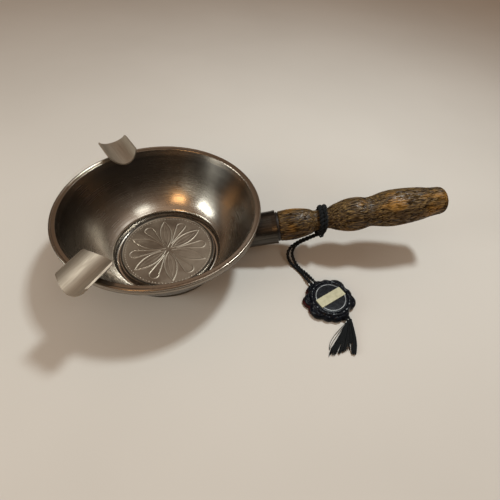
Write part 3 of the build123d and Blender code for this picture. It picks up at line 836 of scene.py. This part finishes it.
def medallion_mesh(material):
    """The disc with its relief, border and rounded edge."""
    sides = 900
    field_rings = 170
    border_start = medallion_radius - medallion_border_width
    angles = np.linspace(0, 2 * math.pi, sides, endpoint=False)
    rings = []
    for radius in np.linspace(0.4, border_start - 0.25, field_rings):
        x = radius * np.cos(angles)
        y = radius * np.sin(angles)
        rings.append((x, y, medallion_field + medallion_height(x, y)))
    for radius, height in (
        (border_start, medallion_field + 0.12),
        (border_start + 0.18, medallion_border_top - 0.1),
        (border_start + 0.4, medallion_border_top),
        (medallion_radius - 0.35, medallion_border_top),
        (medallion_radius - 0.1, medallion_border_top - 0.1),
        (medallion_radius, medallion_border_top - 0.35),
        (medallion_radius, medallion_base),
    ):
        rings.append((radius * np.cos(angles), radius * np.sin(angles), np.full(sides, height)))
    vertices = [mm(p) for ring in rings for p in zip(*ring)]
    return mesh_object("medallion_relief", vertices, ring_faces(len(rings), sides, flipped=True), material)


def cast_pewter():
    """The medallion's metal: dark in the field, bright on the raised lines and nearly black on the border."""
    s = Shader("cast pewter")
    field_tones = ((0.18, 0.148, 0.116), (0.255, 0.215, 0.17))
    line_tone = (0.32, 0.285, 0.235)
    border_tone = (0.055, 0.048, 0.04)
    height = s.add("SeparateXYZ", {0: s.place()}).outputs["Z"]
    cloud = s.noise(s.place(), 90.0, 4.0)
    grain = s.noise(s.place(), 3200.0)
    field = s.mix(s.ranged(cloud, 0.3, 0.7), *field_tones)
    line_foot = (medallion_field + 0.03) * MM
    worn = s.ranged(height, line_foot, (medallion_field + medallion_line_colour_rise) * MM)
    shade = s.mix(worn, field, line_tone)
    border = s.ranged(height, (medallion_field + 0.25) * MM, medallion_border_top * MM)
    shade = s.mix(border, shade, border_tone)
    rough = s.ranged(cloud, 0.3, 0.7, 0.44, 0.56)
    return s.set(Base_Color=shade, Metallic=1.0, Roughness=rough, Normal=s.bump(grain, 0.25, 0.00008))


medallion = medallion_mesh(cast_pewter())
finish_piece(medallion, "pan", "pewter_medallion", "medallion")


# Finishes of the nodes that are shown as they are
def spun_pewter():
    """The bowl: lathe lines round it, darker high on its wall and on its outside, and a tone of its own on
    the lip.
    """
    s = Shader("spun pewter")
    bright_tone = (0.62, 0.585, 0.53)
    dull_tone = (0.48, 0.445, 0.395)
    stain_tone = (0.26, 0.20, 0.145)
    line_tone = (0.54, 0.51, 0.46)
    upper_wall_tone = (0.10, 0.09, 0.078)
    outside_tone = (0.055, 0.046, 0.038)
    lip_tone = (0.29, 0.255, 0.215)
    place = s.place()
    height = s.add("SeparateXYZ", {0: place}).outputs["Z"]
    flat = s.add("VectorMath", {0: place, 1: (1, 1, 0)}, operation="MULTIPLY").outputs[0]
    radius = s.add("VectorMath", {0: flat}, operation="LENGTH").outputs["Value"]
    section = s.add("CombineXYZ", {"X": radius, "Y": height}).outputs[0]
    wander = s.add("VectorMath", {0: place, 1: (0.02, 0.02, 0.02)}, operation="MULTIPLY").outputs[0]
    section = s.add("VectorMath", {0: section, 1: wander}, operation="ADD").outputs[0]
    lines = s.noise(section, 1500.0, 2.0)
    cloud = s.noise(place, 38.0, 4.0, 0.55)
    stain = s.noise(place, 95.0, 3.0)
    shade = s.mix(s.ranged(cloud, 0.35, 0.7), bright_tone, dull_tone)
    shade = s.mix(s.ranged(stain, 0.5, 0.8, 0.0, 0.5), shade, stain_tone)
    shade = s.mix(s.ranged(lines, 0.35, 0.7, 0.0, 0.3), shade, line_tone)
    # From 12 mm to 30 mm up the bowl turns darker, inside and out
    shade = s.mix(s.ranged(height, *upper_darkening_heights, 0.0, 0.85), shade, upper_wall_tone)
    # Where the surface faces away from the axis, the outside is darker all round
    normal = s.add("NewGeometry").outputs["Normal"]
    facing = s.add("VectorMath", {0: normal, 1: flat}, operation="DOT_PRODUCT")
    outward = s.math("DIVIDE", facing.outputs["Value"], radius)
    shade = s.mix(s.ranged(outward, 0.0, 0.5, 0.0, 0.85), shade, outside_tone)
    # From 40.5 mm up the lip takes a tone of its own
    shade = s.mix(s.ranged(height, *lip_heights), shade, lip_tone)
    rough = s.math("ADD", s.ranged(cloud, 0.3, 0.7, 0.21, 0.27), s.ranged(lines, 0.3, 0.7, -0.02, 0.03))
    depth = s.ranged(height, *lathe_heights, 0.08, 0.0)
    bump = s.bump(lines, 0.1, 0.00005)
    s.tree.links.new(depth, bump.node.inputs["Strength"])
    return s.set(Base_Color=shade, Metallic=1.0, Roughness=rough, Normal=bump)


def brushed_pewter(name, turn, light, dark, roughness):
    """Sheet pewter with rub marks along one direction, given as a turn about Z and Y."""
    s = Shader(name)
    streaks = s.noise(s.stretched(turn, (0.02, 0.0011, 0.0011)), 1.0, 3.0, 0.6)
    fine = s.noise(s.stretched(turn, (0.008, 0.0003, 0.0003)), 1.0, 2.0)
    cloud = s.noise(s.place(), 130.0, 3.0)
    shade = s.mix(s.ranged(streaks, 0.3, 0.7), dark, light)
    shade = s.mix(s.ranged(cloud, 0.5, 0.8, 0.0, 0.4), shade, dark)
    height = s.math("ADD", streaks, s.math("MULTIPLY", fine, 0.5))
    rough = s.ranged(fine, 0.3, 0.7, roughness - 0.05, roughness + 0.07)
    return s.set(Base_Color=shade, Metallic=1.0, Roughness=rough, Normal=s.bump(height, 0.18, 0.00008))


def dark_ring():
    """The spacer: dark waxed leather, grained."""
    s = Shader("waxed leather")
    leather_tones = ((0.005, 0.004, 0.0035), (0.018, 0.012, 0.010))
    pores = s.add("TexVoronoi", {"Vector": s.place(), "Scale": 1500.0}).outputs["Distance"]
    cloud = s.noise(s.place(), 300.0, 3.0)
    shade = s.mix(s.ranged(cloud, 0.35, 0.7), *leather_tones)
    return s.set(Base_Color=shade, Roughness=0.42, Normal=s.bump(pores, 0.35, 0.0001))


def turned_steel():
    """The hidden rod: bright steel with fine turning marks."""
    s = Shader("turned steel")
    steel_tones = ((0.42, 0.42, 0.43), (0.6, 0.6, 0.61))
    marks = s.noise(s.stretched((0, -rise, 0), (0.0003, 0.01, 0.01)), 1.0, 2.0)
    shade = s.mix(s.ranged(marks, 0.3, 0.7), *steel_tones)
    return s.set(Base_Color=shade, Metallic=1.0, Roughness=0.3, Normal=s.bump(marks, 0.2, 0.00005))


def pale_metal(name, turn, light, dark, roughness, metallic=1.0):
    """Thin polished metal with faint marks and a little dulling."""
    s = Shader(name)
    marks = s.noise(s.stretched(turn, (0.006, 0.00025, 0.00025)), 1.0, 2.0)
    cloud = s.noise(s.place(), 420.0, 3.0)
    shade = s.mix(s.ranged(cloud, 0.4, 0.75), light, dark)
    rough = s.ranged(marks, 0.3, 0.7, roughness - 0.05, roughness + 0.08)
    return s.set(Base_Color=shade, Metallic=metallic, Roughness=rough, Normal=s.bump(marks, 0.15, 0.00005))


def finish_node(name, material):
    """Give a CAD node its finish."""
    for slot in frame["nodes"][name].material_slots:
        slot.material = material


# Light and dark tone and roughness of each metal, and the turn of its rub marks
rest_turn = math.radians(120.7)
label_turn = math.radians(27.7)
rest_tones = ((0.37, 0.32, 0.258), (0.32, 0.274, 0.22), 0.6)
finish_node("bowl", spun_pewter())
finish_node("cigarette_rest_back", brushed_pewter("rest pewter back", (0, 0, rest_turn), *rest_tones))
finish_node("cigarette_rest_front", brushed_pewter("rest pewter front", (0, 0, -rest_turn), *rest_tones))
# The socket's pewter is written far darker than the same pewter of the rests and the bowl: painted shade
socket_shade_tones = ((0.085, 0.076, 0.066), (0.04, 0.036, 0.031), 0.32)
finish_node("handle_socket", brushed_pewter("socket pewter", (0, -rise, 0), *socket_shade_tones))
finish_node("spacer_ring", dark_ring())
finish_node("handle_stud", turned_steel())
ring_tones = ((0.13, 0.13, 0.13), (0.07, 0.07, 0.07), 0.42)
finish_node("seal_ring", pale_metal("silver ring", (0, 0, 0), *ring_tones))
label_tones = ((0.43, 0.415, 0.28), (0.35, 0.335, 0.22), 0.55)
finish_node("seal_label", pale_metal("pale label", (0, 0, label_turn), *label_tones, metallic=0.15))


# Wooden handle
def outline_of(node):
    """Outer outline of a turned node about the handle's axis: place along it and radius, in millimetres."""
    reach = {}
    for vertex in frame["nodes"][node].data.vertices:
        from_foot = vertex.co / MM - handle_foot
        place = from_foot.dot(along)
        radius = (from_foot - along * place).length
        if radius > rod_hole_radius:
            key = round(place, 2)
            reach[key] = max(reach.get(key, 0.0), radius)
    return sorted(reach.items())


def carve(place, angle, radius):
    """Depth of the carved grain at a point of the grip, and how deep in a groove it is, from 0 to 1."""
    spoke = Vector((math.cos(angle) * radius, math.sin(angle) * radius, 0))
    wander = noise.noise(Vector((place * 0.11, 0, 0)) + spoke * 0.25) * 1.3
    fine = noise.noise(spoke * 1.25 + Vector((wander + 7, 3, place * 0.10)))
    short = noise.noise(spoke * 0.9 + Vector((1, 5, place * 0.33)))
    groove = max(0.0, 1 - abs(fine) / groove_half_width)
    pit = max(0.0, short - pit_level) / pit_span
    fade = min(max((place - grip_start) / grip_fade, 0), 1)
    deep = min(1.0, groove * 0.9 + pit)
    return (plain_depth + groove_depth * deep + uneven_depth * abs(short)) * fade, deep


def grip_mesh(material):
    """The grip: the CAD outline, spun, with grooves cut along it."""
    outline = [pair for pair in outline_of("wooden_handle") if pair[0] > grip_start - 0.1]
    places = np.array([pair[0] for pair in outline])
    radii = np.array([pair[1] for pair in outline])
    steps = 340
    sides = 300
    vertices = []
    depths = []
    for i in range(steps + 1):
        place = places[0] + (places[-1] - places[0]) * i / steps
        radius = float(np.interp(place, places, radii))
        for k in range(sides):
            angle = 2 * math.pi * k / sides
            depth, deep = carve(place, angle, radius)
            depths.append(deep)
            vertices.append(mm(handle_point(place, angle, max(radius - depth, 0.1))))
    piece = mesh_object("carved_grip", vertices, ring_faces(steps + 1, sides, flipped=True), material)
    piece.data.attributes.new("groove", "FLOAT", "POINT").data.foreach_set("value", depths)
    return piece


def wood():
    """Dark waxed wood: fine light and dark fibres, ochre in patches, grooves darker and duller."""
    s = Shader("carved wood")
    dark_streak = (0.015, 0.0085, 0.0042)
    light_streak = (0.088, 0.051, 0.019)
    pale_fibre = (0.27, 0.175, 0.06)
    dark_fibre = (0.010, 0.006, 0.004)
    ochre_tone = (0.34, 0.165, 0.026)
    groove_tone = (0.009, 0.006, 0.004)
    along_grain = (0, -rise, 0)
    fibres = s.noise(s.stretched(along_grain, (0.009, 0.00045, 0.00045)), 1.0, 2.0, 0.6)
    streaks = s.noise(s.stretched(along_grain, (0.014, 0.0016, 0.0016)), 1.0, 4.0, 0.6)
    patches = s.noise(s.stretched(along_grain, (0.018, 0.010, 0.010)), 1.0, 2.0)
    groove = s.add("Attribute", attribute_name="groove").outputs["Fac"]
    shade = s.mix(s.ranged(streaks, 0.34, 0.66), dark_streak, light_streak)
    shade = s.mix(s.ranged(fibres, 0.5, 0.68, 0.0, 0.8), shade, pale_fibre)
    ochre = s.math("MULTIPLY", s.ranged(patches, 0.52, 0.68), s.ranged(fibres, 0.3, 0.65, 0.35, 1.0))
    shade = s.mix(s.math("MULTIPLY", ochre, 0.8), shade, ochre_tone)
    shade = s.mix(s.ranged(fibres, 0.46, 0.34, 0.0, 0.85), shade, dark_fibre)
    shade = s.mix(s.ranged(groove, 0.1, 0.8, 0.0, 0.6), shade, groove_tone)
    rough = s.ranged(fibres, 0.3, 0.7, 0.48, 0.62)
    s.set(Base_Color=shade, Roughness=rough, Normal=s.bump(fibres, 0.3, 0.00012))
    gloss = s.ranged(groove, 0.0, 0.5, 0.25, 0.02)
    coat = s.ranged(groove, 0.0, 0.5, 0.2, 0.0)
    return s.set(Specular_IOR_Level=gloss, Coat_Weight=coat, Coat_Roughness=0.25)


grip = grip_mesh(wood())
finish_piece(grip, "pan", "carved_wood", "wooden_handle")


# Floor and light
def floor_material():
    """Plain pale matt floor."""
    s = Shader("floor")
    floor_tones = ((0.575, 0.56, 0.53), (0.60, 0.585, 0.555))
    cloud = s.noise(s.place(), 6.0, 3.0)
    shade = s.mix(s.ranged(cloud, 0.3, 0.7), *floor_tones)
    return s.set(Base_Color=shade, Roughness=0.75, Specular_IOR_Level=0.25)


floor_corners = [(x * floor_reach, y * floor_reach, 0) for x, y in ((-1, -1), (1, -1), (1, 1), (-1, 1))]
floor = mesh_object("floor", floor_corners, [(0, 1, 2, 3)], floor_material())


def studio_world():
    """Plain room light: brighter above than at the horizon."""
    world = bpy.data.worlds.new("world")
    scene.world = world
    world.use_nodes = True
    tree = world.node_tree
    direction = tree.nodes.new("ShaderNodeTexCoord").outputs["Generated"]
    split = tree.nodes.new("ShaderNodeSeparateXYZ")
    tree.links.new(direction, split.inputs[0])
    ramp = tree.nodes.new("ShaderNodeValToRGB")
    tree.links.new(split.outputs["Z"], ramp.inputs["Fac"])
    ramp.color_ramp.elements[0].position = world_ramp_start
    ramp.color_ramp.elements[0].color = (*world_horizon, 1)
    ramp.color_ramp.elements[1].position = 1.0
    ramp.color_ramp.elements[1].color = (*world_zenith, 1)
    tree.links.new(ramp.outputs["Color"], tree.nodes["Background"].inputs["Color"])
    tree.nodes["Background"].inputs["Strength"].default_value = 1.0


def lamp(name, place, size, power, colour):
    """A square soft lamp aimed at a point on the object."""
    data = bpy.data.lights.new(name, "AREA")
    data.energy = power
    data.color = colour
    data.size = size * MM
    light = collect(bpy.data.objects.new(name, data))
    light.location = mm(place)
    light.rotation_euler = (mm(lamp_target) - light.location).to_track_quat("-Z", "Y").to_euler()


studio_world()
for values in lamps:
    lamp(*values)

scene.view_settings.view_transform = "Standard"
